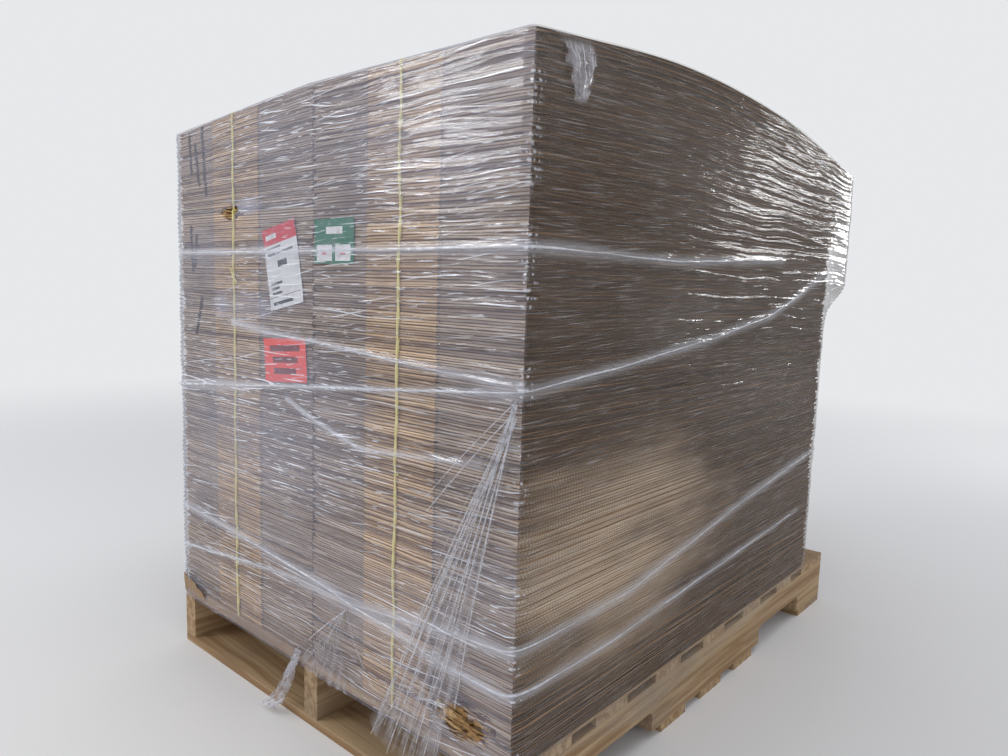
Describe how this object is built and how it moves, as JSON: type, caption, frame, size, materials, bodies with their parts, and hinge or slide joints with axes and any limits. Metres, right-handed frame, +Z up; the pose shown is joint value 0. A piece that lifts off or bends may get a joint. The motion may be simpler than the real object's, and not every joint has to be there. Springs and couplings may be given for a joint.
{
  "type": "shrink wrapped pallet load",
  "caption": "Stretch-wrapped load of flat corrugated boxes in string-tied bundles, stacked in two columns on a notched stringer pallet.",
  "frame": {"origin": "centre of the pallet's underside, on the middle bottom board", "axes": "+Z up, +Y along the load's long side away from the labelled end, +X along its short side"},
  "size_m": [0.9166, 1.2246, 1.1213],
  "materials": {
    "corrugated_board": "brown kraft corrugated board, cut edges showing",
    "twine": "pale yellow polypropylene string",
    "pallet_wood": "rough sawn softwood, weathered",
    "sheet_board": "plain corrugated sheet",
    "film": "clear stretch film, wrinkled and glossy",
    "orange_label": "fluorescent red-orange label paper",
    "white_label": "white label paper with a red header band",
    "green_label": "green label paper with two white squares"
  },
  "bodies": {
    "root": {"bundle_tier_1_left": "corrugated_board", "bundle_tier_1_right": "corrugated_board", "bundle_tier_2_left": "corrugated_board", "bundle_tier_2_right": "corrugated_board", "bundle_tier_3_left": "corrugated_board", "bundle_tier_3_right": "corrugated_board", "bundle_tier_4_left": "corrugated_board", "bundle_tier_4_right": "corrugated_board", "bundle_tier_5_left": "corrugated_board", "bundle_tier_5_right": "corrugated_board", "string_tier_1_left": "twine", "string_tier_1_right": "twine", "string_tier_2_left": "twine", "string_tier_2_right": "twine", "string_tier_3_left": "twine", "string_tier_3_right": "twine", "string_tier_4_left": "twine", "string_tier_4_right": "twine", "string_tier_5_left": "twine", "string_tier_5_right": "twine", "stringer_left": "pallet_wood", "stringer_middle": "pallet_wood", "stringer_right": "pallet_wood", "top_board_1": "pallet_wood", "top_board_2": "pallet_wood", "top_board_3": "pallet_wood", "top_board_4": "pallet_wood", "top_board_5": "pallet_wood", "top_board_6": "pallet_wood", "top_board_7": "pallet_wood", "bottom_board_1": "pallet_wood", "bottom_board_2": "pallet_wood", "bottom_board_3": "pallet_wood", "bottom_board_4": "pallet_wood", "bottom_board_5": "pallet_wood", "slip_sheet": "sheet_board", "stretch_film": "film", "orange_label": "orange_label", "white_label": "white_label", "green_label": "green_label"}
  },
  "joints": []
}
